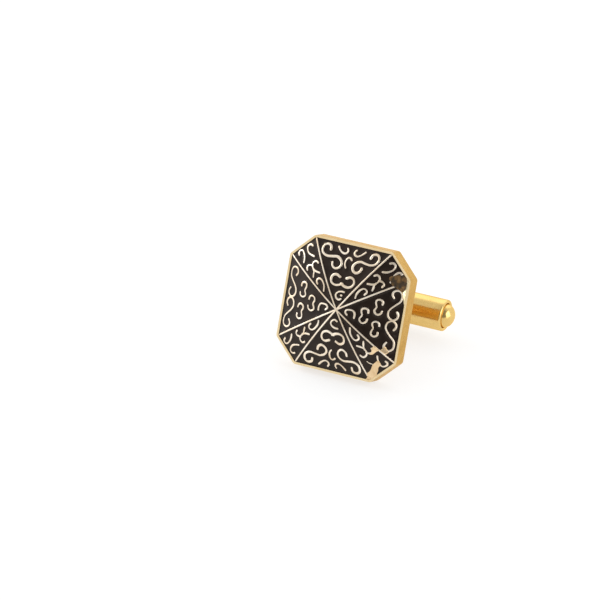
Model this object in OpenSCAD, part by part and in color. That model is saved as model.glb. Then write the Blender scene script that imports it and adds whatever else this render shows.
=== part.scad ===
// Octagonal enamelled cufflink with a swivelling bar back, resting on a table.
// Every piece is drawn in the head's own axes and then set down by place():
// x runs along the bar, y up the face, z out of the face, and z is 0 at the front rim.

/* [Head casting] */
// Width of the octagonal head across its flats
head_w = 17; // [14:0.5:22]
// Corner cut along a flat side, as a share of the width
corner_share = 0.1794; // [0.12:0.0002:0.23]
// Height of the side wall, from the back lip to the front rim
wall_h = 2.3; // [1.6:0.05:3]
// Thickness of the side wall round the hollow back
wall_t = 0.7; // [0.5:0.05:1.2]
// Width of the narrow front rim
rim_w = 0.36; // [0.2:0.02:0.6]
// Rise of the domed face above the rim
face_rise = 2.2; // [1.4:0.1:3]
// Thickness of the face plate, from its ridges to the hollow behind it
plate_t = 1.2; // [0.9:0.05:1.5]

/* [Enamel and raised lines] */
// Depth of the enamel cells below the ridges
cell_depth = 0.4; // [0.2:0.05:0.6]
// How far the enamel stops below the ridges
enamel_drop = 0.1; // [0.05:0.01:0.15]
// Width of the eight ridges
ridge_w = 0.22; // [0.16:0.02:0.36]
// Width of the large scroll lines
scroll_w = 0.34; // [0.24:0.02:0.42]
// Width of the small scroll lines
fine_w = 0.28; // [0.2:0.02:0.36]
// Radius of the small dot near the peak
dot_r = 0.16; // [0.1:0.02:0.24]

/* [Yoke] */
// Width of the bent strip
strip_w = 2.6; // [2:0.1:3]
// Thickness of the bent strip
strip_t = 0.8; // [0.6:0.05:1.1]
// Distance from the front rim back to the pivot pin
pivot_back = 13.4; // [12.5:0.1:16]
// Length of the arms past the pivot pin
tip_len = 1.9; // [1.5:0.1:2.4]
// Radius of the corners at the arm tips
tip_corner_r = 0.8; // [0.4:0.1:1]
// Height of the boss that seats in the bar's dimple
boss_h = 0.4; // [0.2:0.05:0.5]
// Radius of the boss round the pin
boss_r = 1.15; // [0.95:0.05:1.25]

/* [Solder] */
// Radius of the solder pool under the yoke
solder_r = 2.5; // [2:0.1:3]
// Height of the solder pool above the floor of the hollow
solder_h = 0.9; // [0.6:0.05:1.3]

/* [Toggle bar] */
// Diameter of the bar
bar_d = 4.2; // [3.9:0.1:4.8]
// Length of the bar's tube, without its end balls
bar_len = 18; // [16:0.5:18.5]
// Wall of the bar's tube
bar_wall = 0.5; // [0.4:0.05:0.6]
// How far the end balls stand out of the tube
ball_out = 1.1; // [0.6:0.05:1.2]
// Length of the plug behind each ball
plug_len = 1.8; // [1:0.1:2]
// Depth of the dimple that takes the yoke's boss
dimple_depth = 0.45; // [0.3:0.05:0.55]
// Radius of the dimple
dimple_r = 2; // [1.7:0.05:2.2]

/* [Pivot pin and spring] */
// Diameter of the pivot pin
pin_d = 1.2; // [0.9:0.05:1.3]
// Diameter of the pin's peened heads
pin_head_d = 1.7; // [1.6:0.05:2]
// Height of the pin's peened heads
pin_head_h = 0.18; // [0.1:0.02:0.25]
// Thickness of the friction spring
spring_t = 0.2; // [0.15:0.01:0.25]
// Width of the friction spring
spring_w = 1.6; // [1.2:0.1:1.7]
// Gap between the friction spring and the plug at each end of it
spring_gap = 0.8; // [0.3:0.1:2]

/* [Hidden] */

// Smoothness of usual, large and small round shapes
$fn = 96;
large_fn = 240;
small_fn = 48;

// Clearances: running fit of the pin, side play of the bar, seat of a piece that is soldered or pressed in
run_clear = 0.05;
side_clear = 0.1;
seat_clear = 0.02;
// Step from the ball to the plug behind it
ball_step = 0.04;
// Overrun of every cut past the face that it opens
cut_over = 0.5;

// Colours of the plated metal, the bare solder and the enamel
gold = [0.86, 0.66, 0.3];
pale_gold = [0.93, 0.77, 0.42];
solder_gold = [0.78, 0.56, 0.22];
enamel_black = [0.07, 0.055, 0.06];

// Half sizes of the head
head_half = head_w / 2;
corner_cut = head_w * corner_share;
face_half = head_half - rim_w;
plate_half = head_half - rim_w / 2;
hollow_half = head_half - wall_t;
// An inset of the octagon shortens its corner cut by this share of the inset
inset_share = 2 - sqrt(2);
face_cut = corner_cut - rim_w * inset_share;
plate_cut = corner_cut - rim_w / 2 * inset_share;
hollow_cut = corner_cut - wall_t * inset_share;

// The ridges end this far under the rim, and the face rises from there
rim_step = 0.04;
vault_rise = face_rise + rim_step;
// Distance from the middle to a corner's slanted side
diagonal_half = (2 * face_half - face_cut) / sqrt(2);
// Flat strips that make each sector's curve from the peak to the rim
curve_steps = 6;

// Yoke, bar and pin
bar_r = bar_d / 2;
bore_r = bar_r - bar_wall;
arm_in = bar_r + side_clear;
arm_out = arm_in + strip_t;
pin_r = pin_d / 2;
// The tube's mouths are rounded over the whole wall, and the balls fill them
lip_r = bar_wall / 2;
plug_r = bore_r - seat_clear;
ball_r = plug_r - ball_step;
plug_end = bar_len / 2 - 2 * lip_r;
dimple_y = bar_r - dimple_depth;
// The domed floor falls away under the strip's edges by no more than this
floor_sag = vault_rise * strip_w / face_half / curve_steps / 2;
yoke_top = face_rise - plate_t - floor_sag - seat_clear;
bend_z = yoke_top - arm_out;
tip_z = -pivot_back - tip_len;

// Friction spring: a bowed strip that bears on the pin and on the bore
spring_end_z = sqrt(bore_r * bore_r - spring_w * spring_w / 4) - seat_clear;
spring_mid_z = pin_r + seat_clear;
spring_bow = spring_end_z - spring_t - spring_mid_z;
spring_half = plug_end - plug_len - spring_gap;
spring_r = (spring_half * spring_half + spring_bow * spring_bow) / (2 * spring_bow);

// Resting pose: the cufflink leans back on the head's lower back edge and the lower arm's tip
lean = atan((head_half - arm_out) / (-tip_z - wall_h));
lift = head_half * cos(lean) + wall_h * sin(lean);
front_y = -head_half * sin(lean);
back_y = arm_out * sin(lean) - tip_z * cos(lean);
middle_y = (front_y + back_y) / 2;

// Scroll lines as shares of the pattern's half width, x to the right and y up, on one side of the face.
// The other side mirrors them, as on the real face.
pattern_share = 0.987;
pattern_half = face_half * pattern_share;
large_s_shares = [
    [0.348, 0.885], [0.362, 0.938], [0.422, 0.96], [0.476, 0.934], [0.488, 0.877], [0.458, 0.816],
    [0.384, 0.783], [0.286, 0.792], [0.206, 0.802], [0.138, 0.773], [0.1, 0.716], [0.118, 0.652],
    [0.18, 0.622], [0.24, 0.654], [0.254, 0.705]
];
heart_half_shares = [
    [-0.01, 0.415], [0.045, 0.388], [0.105, 0.376], [0.17, 0.401], [0.198, 0.461], [0.178, 0.519],
    [0.12, 0.539], [0.058, 0.511]
];
rim_hook_shares = [
    [0.232, 0.953], [0.188, 0.905], [0.125, 0.87], [0.072, 0.882], [0.055, 0.922], [0.078, 0.955]
];
middle_arc_shares = [
    [0.052, 0.798], [0.017, 0.825], [-0.023, 0.815], [-0.046, 0.76], [-0.038, 0.705], [-0.013, 0.667]
];
peak_c_shares = [
    [0.072, 0.297], [0.017, 0.295], [-0.033, 0.272], [-0.058, 0.227], [-0.038, 0.182], [0.007, 0.162],
    [0.042, 0.182]
];
peak_dot_share = [0.037, 0.236];
side_s_shares = [
    [-0.854, 0.36], [-0.826, 0.405], [-0.839, 0.46], [-0.894, 0.488], [-0.949, 0.46], [-0.968, 0.4],
    [-0.954, 0.32], [-0.894, 0.25], [-0.839, 0.19], [-0.806, 0.12], [-0.824, 0.045], [-0.884, 0.005],
    [-0.944, 0.04], [-0.956, 0.1], [-0.929, 0.145]
];
outer_three_shares = [
    [-0.707, 0.227], [-0.707, 0.267], [-0.662, 0.297], [-0.612, 0.277], [-0.607, 0.227], [-0.627, 0.17],
    [-0.602, 0.117], [-0.612, 0.077], [-0.657, 0.055], [-0.702, 0.077], [-0.714, 0.117]
];
inner_three_shares = [
    [-0.518, 0.055], [-0.508, 0.1], [-0.468, 0.12], [-0.418, 0.1], [-0.408, 0.055], [-0.428, -0.002],
    [-0.398, -0.055], [-0.408, -0.095], [-0.453, -0.12], [-0.503, -0.095], [-0.518, -0.05]
];
peak_hook_shares = [
    [-0.311, -0.07], [-0.311, -0.01], [-0.286, 0.035], [-0.236, 0.045], [-0.176, 0.035],
    [-0.156, -0.005], [-0.186, -0.04]
];
corner_hook_shares = [
    [-0.675, 0.874], [-0.713, 0.886], [-0.751, 0.87], [-0.765, 0.832], [-0.748, 0.785], [-0.713, 0.752],
    [-0.662, 0.732], [-0.6, 0.724]
];
corner_cane_shares = [
    [-0.883, 0.681], [-0.902, 0.712], [-0.886, 0.75], [-0.848, 0.761], [-0.81, 0.736], [-0.779, 0.691],
    [-0.761, 0.639], [-0.756, 0.587]
];
sprig_stem_shares = [
    [-0.492, 0.643], [-0.526, 0.664], [-0.561, 0.65], [-0.585, 0.612], [-0.582, 0.573], [-0.554, 0.539],
    [-0.506, 0.508], [-0.419, 0.499]
];
sprig_left_shares = [[-0.578, 0.58], [-0.631, 0.577], [-0.665, 0.553], [-0.669, 0.521], [-0.653, 0.494]];
sprig_down_shares = [[-0.55, 0.535], [-0.526, 0.497], [-0.52, 0.449], [-0.515, 0.411]];
inner_cane_shares = [
    [-0.411, 0.325], [-0.438, 0.36], [-0.428, 0.398], [-0.39, 0.415], [-0.348, 0.398], [-0.307, 0.353],
    [-0.282, 0.304], [-0.275, 0.242]
];
// Steps between two listed points of a line, and steps of its round end
line_steps = 2;
end_steps = 4;

// Corners of an octagon of a half width and a corner cut, from the top edge's right end, anticlockwise
function octagon(half, cut) = [
    [half - cut, half], [cut - half, half], [-half, half - cut], [-half, cut - half],
    [cut - half, -half], [half - cut, -half], [half, cut - half], [half, half - cut]
];

// A point of a smooth curve between the points b and c, whose neighbours are a and d
function between(a, b, c, d, t) =
    b + t * (c - a) / 2 + t * t * (a - 2.5 * b + 2 * c - d / 2) + t * t * t * (1.5 * (b - c) + (d - a) / 2);

// All points of a smooth curve through a list of points
function curve(points) = let (last = len(points) - 1) [
    for (i = [0:last - 1], s = [0:line_steps - 1])
        between(points[max(i - 1, 0)], points[i], points[i + 1], points[min(i + 2, last)], s / line_steps),
    points[last]
];

// Direction of a curve at its point i, as an angle
function heading(points, i) = let (
    ahead = points[min(i + 1, len(points) - 1)],
    behind = points[max(i - 1, 0)]
) atan2(ahead[1] - behind[1], ahead[0] - behind[0]);

// Outline of a line of a width along a curve, with round ends
function line_outline(points, width) = let (last = len(points) - 1, r = width / 2) [
    for (i = [0:last]) points[i] + r * [cos(heading(points, i) - 90), sin(heading(points, i) - 90)],
    for (k = [1:end_steps - 1]) let (a = heading(points, last) - 90 + 180 * k / end_steps)
        points[last] + r * [cos(a), sin(a)],
    for (i = [last:-1:0]) points[i] + r * [cos(heading(points, i) + 90), sin(heading(points, i) + 90)],
    for (k = [1:end_steps - 1]) let (a = heading(points, 0) + 90 + 180 * k / end_steps)
        points[0] + r * [cos(a), sin(a)]
];

// Sets a piece down in its resting pose, leaning back on the table
module place() {
    translate([0, -middle_y, lift]) rotate([90 - lean, 0, 0]) children();
}

// Turns a shape drawn along z so that it lies along the bar, x
module along_x() {
    rotate([0, 90, 0]) children();
}

// Turns a shape drawn along z so that it lies along the pin, y
module along_y() {
    rotate([-90, 0, 0]) children();
}

// Moves to the pivot pin's centre
module at_pivot() {
    translate([0, 0, -pivot_back]) children();
}

// Octagonal prism between two heights
module octagon_prism(half, cut, low, high) {
    translate([0, 0, low]) linear_extrude(high - low) polygon(octagon(half, cut));
}

// Cross section of a vault: its height falls from the peak with the square of the distance
function vault_outline(half, drop) = [
    [0, -wall_h - 2 * cut_over],
    for (k = [0:curve_steps + 1]) let (t = k / curve_steps)
        [t * half, face_rise - drop - vault_rise * t * t],
    [(curve_steps + 1) / curve_steps * half, -wall_h - 2 * cut_over]
];

// The vault of one sector, counted anticlockwise from the top, lowered by a drop.
// Vaults side by side meet at the same height all along the ridge between them.
module vault(sector, drop) {
    rotate([0, 0, sector * 45]) rotate([90, 0, 90]) linear_extrude(2 * head_w, center = true)
        polygon(vault_outline(sector % 2 == 0 ? face_half : diagonal_half, drop));
}

// Plan of one sector, from the peak out past the rim
module sector_plan(sector) {
    corners = octagon(face_half, face_cut);
    reach = head_w / face_half;
    polygon([[0, 0], reach * corners[sector], reach * corners[(sector + 1) % 8]]);
}

// Domed block over an octagon, lowered by a drop: eight curved sectors side by side
module domed_block(half, cut, drop, low) {
    for (sector = [0:7]) intersection() {
        vault(sector, drop);
        translate([0, 0, low]) linear_extrude(face_rise - low) intersection() {
            sector_plan(sector);
            polygon(octagon(half, cut));
        }
    }
}

// Four bars across the face, which make its eight ridges
module ridge_lines() {
    for (i = [0:3]) {
        ends = [octagon(face_half, face_cut)[i], octagon(face_half, face_cut)[i + 4]];
        polygon(line_outline(ends, ridge_w));
    }
}

module scroll_line(shares, width) {
    polygon(line_outline(curve(pattern_half * shares), width));
}

// Scrolls of the top sector: two large S lines, a heart, two hooks, an arc and a small C
module top_scrolls() {
    for (side = [0, 1]) mirror([side, 0]) {
        scroll_line(large_s_shares, scroll_w);
        scroll_line(heart_half_shares, scroll_w);
        scroll_line(rim_hook_shares, fine_w);
    }
    scroll_line(middle_arc_shares, fine_w);
    scroll_line(peak_c_shares, fine_w);
}

// Scrolls of the left sector: two S lines along the rim, three curls and a hook
module left_scrolls() {
    for (side = [0, 1]) mirror([0, side]) {
        scroll_line(side_s_shares, fine_w);
        scroll_line(outer_three_shares, fine_w);
    }
    scroll_line(inner_three_shares, fine_w);
    scroll_line(peak_hook_shares, fine_w);
}

// Scrolls of the top left corner sector: a hook, two canes and a sprig
module corner_scrolls() {
    scroll_line(corner_hook_shares, fine_w);
    scroll_line(corner_cane_shares, fine_w);
    scroll_line(sprig_stem_shares, fine_w);
    scroll_line(sprig_left_shares, fine_w);
    scroll_line(sprig_down_shares, fine_w);
    scroll_line(inner_cane_shares, fine_w);
}

// Scrolls of one of the eight sectors, counted anticlockwise from the top
module sector_scrolls(sector) {
    if (sector == 0) {
        top_scrolls();
        translate(pattern_half * peak_dot_share) circle(dot_r, $fn = small_fn);
    }
    if (sector == 1) corner_scrolls();
    if (sector == 2) left_scrolls();
    if (sector == 3) mirror([0, 1]) corner_scrolls();
    if (sector == 4) mirror([0, 1]) top_scrolls();
    if (sector == 5) mirror([1, 0]) mirror([0, 1]) corner_scrolls();
    if (sector == 6) mirror([1, 0]) left_scrolls();
    if (sector == 7) mirror([1, 0]) corner_scrolls();
}

// Raised lines of the face: ridges and scrolls, level with the domed face
module relief() {
    intersection() {
        domed_block(plate_half, plate_cut, 0, -wall_h);
        translate([0, 0, -cell_depth - enamel_drop]) linear_extrude(face_rise + wall_h) {
            ridge_lines();
            for (sector = [0:7]) sector_scrolls(sector);
        }
    }
}

module head_casting() color(gold) place() difference() {
    union() {
        difference() {
            octagon_prism(head_half, corner_cut, -wall_h, 0);
            octagon_prism(face_half, face_cut, -wall_h - cut_over, cut_over);
        }
        domed_block(plate_half, plate_cut, cell_depth, -wall_h);
        relief();
    }
    domed_block(hollow_half, hollow_cut, plate_t, -wall_h - cut_over);
}

// Enamel of one sector: a curved slice of the cell, open where its scrolls rise through it
module enamel(sector) color(enamel_black) place() intersection() {
    difference() {
        vault(sector, enamel_drop);
        vault(sector, cell_depth);
    }
    translate([0, 0, -cell_depth - cut_over]) linear_extrude(face_rise + wall_h) difference() {
        intersection() {
            sector_plan(sector);
            polygon(octagon(face_half, face_cut));
        }
        ridge_lines();
        sector_scrolls(sector);
    }
}

module enamel_top() enamel(0);
module enamel_top_left() enamel(1);
module enamel_left() enamel(2);
module enamel_bottom_left() enamel(3);
module enamel_bottom() enamel(4);
module enamel_bottom_right() enamel(5);
module enamel_right() enamel(6);
module enamel_top_right() enamel(7);

// Side view of the bent strip, grown by a margin: two arms and a round bend
module yoke_side(inner, outer) {
    difference() {
        union() {
            translate([-outer, tip_z]) square([2 * outer, bend_z - tip_z]);
            translate([0, bend_z]) circle(outer);
        }
        translate([-inner, tip_z - cut_over]) square([2 * inner, bend_z - tip_z + cut_over]);
        translate([0, bend_z]) circle(inner);
    }
}

// Plan of the strip seen along the pin: straight sides and two rounded corners at the tip
module yoke_plan() {
    tip_half = strip_w / 2 - tip_corner_r;
    translate([-strip_w / 2, tip_z + tip_corner_r]) square([strip_w, yoke_top - tip_z]);
    translate([-tip_half, tip_z]) square([2 * tip_half, tip_corner_r]);
    for (side = [-1, 1]) translate([side * tip_half, tip_z + tip_corner_r]) circle(tip_corner_r);
}

// The bent strip without its holes
module yoke_blank() {
    intersection() {
        rotate([90, 0, 90]) linear_extrude(strip_w, center = true) yoke_side(arm_in, arm_out);
        rotate([90, 0, 0]) linear_extrude(2 * arm_out + cut_over, center = true) yoke_plan();
    }
}

module yoke() color(gold) place() difference() {
    union() {
        yoke_blank();
        for (side = [-1, 1]) at_pivot() translate([0, side * (arm_in - boss_h / 2), 0]) along_y()
            cylinder(r = boss_r, h = boss_h, center = true);
    }
    at_pivot() along_y() cylinder(r = pin_r + seat_clear, h = 2 * arm_out + cut_over, center = true);
}

// Solder: a low pool with three drops, cut to the hollow's floor and to the yoke
module solder_pool() color(solder_gold) place() {
    floor_z = face_rise - plate_t;
    // Radius of a drop as a share of the pool's height, and places of the drops as shares of its radius
    drop_share = 0.8;
    drop_shares = [[0.8, 0.1], [-0.82, 0.05], [-0.7, -0.52]];
    difference() {
        intersection() {
            domed_block(hollow_half, hollow_cut, plate_t, -wall_h);
            union() {
                translate([0, 0, floor_z - solder_h])
                    cylinder(r1 = solder_r - solder_h, r2 = solder_r + cut_over, h = solder_h + cut_over);
                for (share = drop_shares)
                    translate([share[0] * solder_r, share[1] * solder_r, floor_z - solder_h / 3])
                        sphere(solder_h * drop_share);
            }
        }
        rotate([90, 0, 90]) linear_extrude(strip_w, center = true) translate([0, bend_z]) circle(arm_out);
    }
}

module pivot_pin() color(pale_gold) place() at_pivot() along_y() {
    cylinder(r = pin_r, h = 2 * arm_out, center = true);
    for (side = [-1, 1]) translate([0, 0, side * (arm_out + pin_head_h / 2)])
        cylinder(d = pin_head_d, h = pin_head_h, center = true);
}

// Tube of the bar: rounded mouths, and two dimples with pads behind them that run on the pin
module toggle_tube() color(pale_gold) place() at_pivot() difference() {
    lip_x = bar_len / 2 - lip_r;
    union() {
        difference() {
            along_x() cylinder(r = bar_r, h = 2 * lip_x, center = true);
            along_x() cylinder(r = bore_r, h = bar_len, center = true);
        }
        for (side = [-1, 1]) translate([side * lip_x, 0, 0]) along_x()
            rotate_extrude() translate([bar_r - lip_r, 0]) circle(lip_r, $fn = small_fn);
        for (side = [-1, 1]) intersection() {
            along_x() cylinder(r = bar_r - bar_wall / 2, h = bar_len, center = true);
            translate([0, side * (dimple_y - bar_wall / 2), 0]) along_y()
                cylinder(r = dimple_r, h = bar_wall, center = true);
        }
    }
    for (side = [-1, 1]) translate([0, side * (dimple_y + bar_r / 2), 0]) along_y()
        cylinder(r = dimple_r, h = bar_r, center = true);
    along_y() cylinder(r = pin_r + run_clear, h = bar_d, center = true);
}

// Ball at one end of the bar, on a plug that is pressed into the tube's mouth
module end_ball(side) color(pale_gold) place() at_pivot() mirror([side < 0 ? 1 : 0, 0, 0]) {
    translate([bar_len / 2 + ball_out - ball_r, 0, 0]) sphere(ball_r);
    translate([plug_end - plug_len / 2, 0, 0]) along_x() cylinder(r = plug_r, h = plug_len, center = true);
}

module end_ball_left() end_ball(-1);
module end_ball_right() end_ball(1);

// Bowed strip inside the bar, whose middle rubs on the pin and whose ends lie on the bore
module friction_spring() color("silver") place() at_pivot() intersection() {
    translate([0, 0, -spring_mid_z - spring_r]) difference() {
        along_y() cylinder(r = spring_r, h = spring_w, center = true, $fn = large_fn);
        along_y() cylinder(r = spring_r - spring_t, h = spring_w + cut_over, center = true, $fn = large_fn);
    }
    translate([0, 0, -bar_r / 2]) cube([2 * spring_half, spring_w, bar_r], center = true);
}

head_casting();
enamel_top();
enamel_top_right();
enamel_right();
enamel_bottom_right();
enamel_bottom();
enamel_bottom_left();
enamel_left();
enamel_top_left();
solder_pool();
yoke();
pivot_pin();
toggle_tube();
end_ball_left();
end_ball_right();
friction_spring();
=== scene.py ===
# %% [markdown]
# # A swivel-back cufflink
# The object is a gold-plated cufflink: an octagonal head with a domed enamel face, a bent strip behind
# it, and a bar that swivels on a pin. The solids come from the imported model. This file gives each one
# its finished surface. Everything is modelled in millimetres, in the head's own axes, where x runs
# along the bar, y up the face and z out of the face, and is then set down in its leaning pose.

import math
import random

import bmesh
import bpy
import numpy as np
from mathutils import Matrix, Vector


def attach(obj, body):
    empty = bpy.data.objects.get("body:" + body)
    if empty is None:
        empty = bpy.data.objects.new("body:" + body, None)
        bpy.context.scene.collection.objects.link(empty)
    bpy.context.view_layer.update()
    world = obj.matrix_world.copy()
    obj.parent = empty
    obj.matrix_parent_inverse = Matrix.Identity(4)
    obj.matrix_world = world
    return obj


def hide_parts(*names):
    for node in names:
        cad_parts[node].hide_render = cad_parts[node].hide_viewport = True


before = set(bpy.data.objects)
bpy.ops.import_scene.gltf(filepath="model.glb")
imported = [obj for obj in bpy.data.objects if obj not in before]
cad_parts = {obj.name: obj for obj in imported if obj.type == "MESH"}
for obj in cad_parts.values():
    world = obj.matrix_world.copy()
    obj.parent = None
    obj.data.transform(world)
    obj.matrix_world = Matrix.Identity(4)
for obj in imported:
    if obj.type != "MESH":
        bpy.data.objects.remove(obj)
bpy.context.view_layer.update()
print("CAD nodes:", sorted(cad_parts))

# %% [markdown]
# ## Sizes
# A maker works from a drawing, so the sizes come first, in millimetres. They repeat the sizes of the
# solids, apart from the front rim and the ridges: their wiped edges make the rim look narrower and the
# ridges wider. The pose is worked out as on the table: the head's lower back edge and the tip of the
# lower arm both touch it.

# %% Sizes in millimetres
ROOT2 = math.sqrt(2)
HEAD_HALF = 8.5
CORNER_CUT = HEAD_HALF * 2 * 0.1794
WALL_HEIGHT = 2.3
WALL_THICK = 0.7
RIM = 0.29
FACE_HALF = HEAD_HALF - RIM
FACE_CUT = CORNER_CUT - RIM * (2 - ROOT2)
DIAGONAL_HALF = (2 * FACE_HALF - FACE_CUT) / ROOT2
PEAK = 2.2
RISE = 2.24
PLATE = 1.2
ENAMEL_DROP = 0.1
RIDGE_WIDTH = 0.26
STRIP_WIDTH = 2.6
STRIP_THICK = 0.8
ARM_IN = 2.2
ARM_OUT = 3.0
BEND_Z = -2.08
PIVOT_Z = -13.4
TIP_Z = -15.3
BAR_RADIUS = 2.1
BAR_HALF = 9.0
LIP = 0.25
LEAN = math.atan((HEAD_HALF - ARM_OUT) / (-TIP_Z - WALL_HEIGHT))
LIFT = HEAD_HALF * math.cos(LEAN) + WALL_HEIGHT * math.sin(LEAN)
MIDDLE_Y = (ARM_OUT * math.sin(LEAN) - TIP_Z * math.cos(LEAN) - HEAD_HALF * math.sin(LEAN)) / 2
print("lean in degrees:", round(math.degrees(LEAN), 2))

# %% [markdown]
# ## Setting a piece down
# Each finished piece is turned and lowered into the leaning pose, and scaled to metres, in its mesh.
# Its object then stays at the origin, so that every pattern on it stays where it is.

# %% The move from the head's axes to the table
MM = 0.001
TO_TABLE = (
    Matrix.Scale(MM, 4)
    @ Matrix.Translation((0, -MIDDLE_Y, LIFT))
    @ Matrix.Rotation(math.pi / 2 - LEAN, 4, "X")
)
print("height of the rim's middle:", round(LIFT, 2))

# %% Finish a piece and set it down
MERGE = 0.0005


def pick(obj):
    """Selects one object alone and makes it the active one."""
    bpy.ops.object.select_all(action="DESELECT")
    obj.select_set(True)
    bpy.context.view_layer.objects.active = obj


def finish_piece(obj, name, body, material, stands_for=(), angle=35, outwards=True):
    """Names a piece, closes and smooths its mesh, sets it down and makes it ride on its body."""
    pick(obj)
    obj.name = name
    obj.data.name = name
    bpy.ops.object.transform_apply(location=True, rotation=True, scale=True)
    bpy.ops.object.mode_set(mode="EDIT")
    bpy.ops.mesh.select_all(action="SELECT")
    bpy.ops.mesh.remove_doubles(threshold=MERGE)
    if outwards:
        bpy.ops.mesh.normals_make_consistent(inside=False)
    bpy.ops.object.mode_set(mode="OBJECT")
    bpy.ops.object.shade_smooth_by_angle(angle=math.radians(angle))
    obj.data.transform(TO_TABLE)
    obj.data.materials.clear()
    obj.data.materials.append(material)
    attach(obj, body)
    if stands_for:
        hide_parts(*stands_for)
    print(name, "faces:", len(obj.data.polygons))


print("points merged within, in millimetres:", MERGE)

# %% [markdown]
# ## Surface effects that several finishes share
# Plated metal is never one flat colour. The cast parts keep the fine grain and pits of the mould, and
# all of it picks up faint rubbing marks. Each effect is a node group that puts out heights and masks,
# and each finish uses it with its own values.

# %% Helpers for node trees
def feed(tree, socket, value):
    """Links an output to a socket, or sets the socket to a number or a colour."""
    if isinstance(value, bpy.types.NodeSocket):
        tree.links.new(value, socket)
    else:
        socket.default_value = value


def set_inputs(tree, node, **inputs):
    """Feeds a node's inputs by name, with _ for a space, and returns the node."""
    for key, value in inputs.items():
        feed(tree, node.inputs[key.replace("_", " ")], value)
    return node


def add_node(tree, kind, **inputs):
    """Adds a node and feeds its inputs."""
    return set_inputs(tree, tree.nodes.new(kind), **inputs)


def math_node(tree, operation, a, b=0.5, clamp=False):
    """Adds one math node and returns its output."""
    node = tree.nodes.new("ShaderNodeMath")
    node.operation = operation
    node.use_clamp = clamp
    feed(tree, node.inputs[0], a)
    feed(tree, node.inputs[1], b)
    return node.outputs[0]


def remap(tree, value, low, high, to_low, to_high):
    """Maps a number from one range to another, clamped."""
    node = add_node(tree, "ShaderNodeMapRange", Value=value)
    for socket, number in zip(node.inputs[1:5], (low, high, to_low, to_high)):
        socket.default_value = number
    return node.outputs["Result"]


def object_place(tree):
    """The place on the object, which every pattern reads."""
    return add_node(tree, "ShaderNodeTexCoord").outputs["Object"]


def noise(tree, place, scale, detail, roughness=0.5, distortion=0.0):
    """Adds a noise texture and returns its grey output."""
    settings = {"Scale": scale, "Detail": detail, "Roughness": roughness, "Distortion": distortion}
    return add_node(tree, "ShaderNodeTexNoise", Vector=place, **settings).outputs["Fac"]


def bump(tree, height, strength, distance):
    """Adds a bump node and returns its normal."""
    return add_node(tree, "ShaderNodeBump", Strength=strength, Distance=distance, Height=height).outputs[0]


print("node helpers ready")

# %% Helpers for node groups
def new_group(name, inputs, outputs):
    """Makes a node group with named number inputs and outputs."""
    group = bpy.data.node_groups.new(name, "ShaderNodeTree")
    for label, value in inputs:
        socket = group.interface.new_socket(label, in_out="INPUT", socket_type="NodeSocketFloat")
        socket.default_value = value
    for label in outputs:
        group.interface.new_socket(label, in_out="OUTPUT", socket_type="NodeSocketFloat")
    return group, group.nodes.new("NodeGroupInput"), group.nodes.new("NodeGroupOutput")


def add_group(tree, group, **inputs):
    """Places a node group and feeds its inputs."""
    node = tree.nodes.new("ShaderNodeGroup")
    node.node_tree = group
    return set_inputs(tree, node, **inputs)


print("group helpers ready")

# %% Cast grain: a soft skin with scattered pits
grain_sizes = [("Grain size", 0.2), ("Pit size", 0.3)]
grain, grain_in, grain_out = new_group("cast_grain", grain_sizes, ["Height", "Pits"])
place = object_place(grain)
skin_scale = math_node(grain, "DIVIDE", 600.0, grain_in.outputs["Grain size"])
skin = noise(grain, place, scale=skin_scale, detail=4.0, roughness=0.6)
swell = noise(grain, place, scale=520.0, detail=2.0)
pit_scale = math_node(grain, "DIVIDE", 1000.0, grain_in.outputs["Pit size"])
cells = add_node(grain, "ShaderNodeTexVoronoi", Vector=place, Scale=pit_scale, Randomness=1.0)
dots = remap(grain, cells.outputs["Distance"], 0.08, 0.3, 1.0, 0.0)
where = remap(grain, noise(grain, place, scale=900.0, detail=1.0), 0.5, 0.62, 0.0, 1.0)
pits = math_node(grain, "MULTIPLY", dots, where)
height = math_node(grain, "ADD", math_node(grain, "MULTIPLY", skin, 0.45), swell)
height = math_node(grain, "SUBTRACT", height, math_node(grain, "MULTIPLY", pits, 0.8))
set_inputs(grain, grain_out, Height=height, Pits=pits)
print("cast grain nodes:", len(grain.nodes))

# %% Rubbing: faint smears and hairline scratches
SCRATCH_TURNS = ((0.4, (14.0, 1.0, 9.0)), (1.5, (1.0, 16.0, 7.0)), (2.4, (9.0, 12.0, 1.0)))
rub, rub_in, rub_out = new_group("rubbing_marks", [("Amount", 0.5)], ["Smear", "Scratches"])
place = object_place(rub)
smears = noise(rub, place, scale=330.0, detail=5.0, roughness=0.65, distortion=0.8)
smears = remap(rub, smears, 0.35, 0.7, 0.0, 1.0)
scratches = 0.0
for turn, stretch in SCRATCH_TURNS:
    turns = (turn, turn * 0.7, turn * 1.3)
    turned = add_node(rub, "ShaderNodeMapping", Vector=place, Rotation=turns, Scale=stretch)
    lines = noise(rub, turned.outputs[0], scale=420.0, detail=1.0, roughness=0.4)
    scratches = math_node(rub, "MAXIMUM", scratches, remap(rub, lines, 0.66, 0.72, 0.0, 1.0))
for label, marks in (("Smear", smears), ("Scratches", scratches)):
    feed(rub, rub_out.inputs[label], math_node(rub, "MULTIPLY", marks, rub_in.outputs["Amount"]))
print("rubbing nodes:", len(rub.nodes))

# %% [markdown]
# ## Finishes
# Gold plate is a full metal: its colour is the colour of its reflections. The cast walls are satin with
# grain, the drawn bar and the strip are polished, and the solder is glossier and deeper in colour. The
# raised lines, the front rim and the metal run at the rim are paler gold, a painted highlight. The
# enamel is a near-black glossy fill.

# %% A function that makes one plated finish
GOLD_EDGE = (1.0, 0.86, 0.6, 1.0)
PIT_BROWN = (0.32, 0.15, 0.03, 1.0)
RELIEF_DEPTH = 0.00006
SCRATCH_DULL = 0.12
SCRATCH_DEPTH = 0.15


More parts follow.
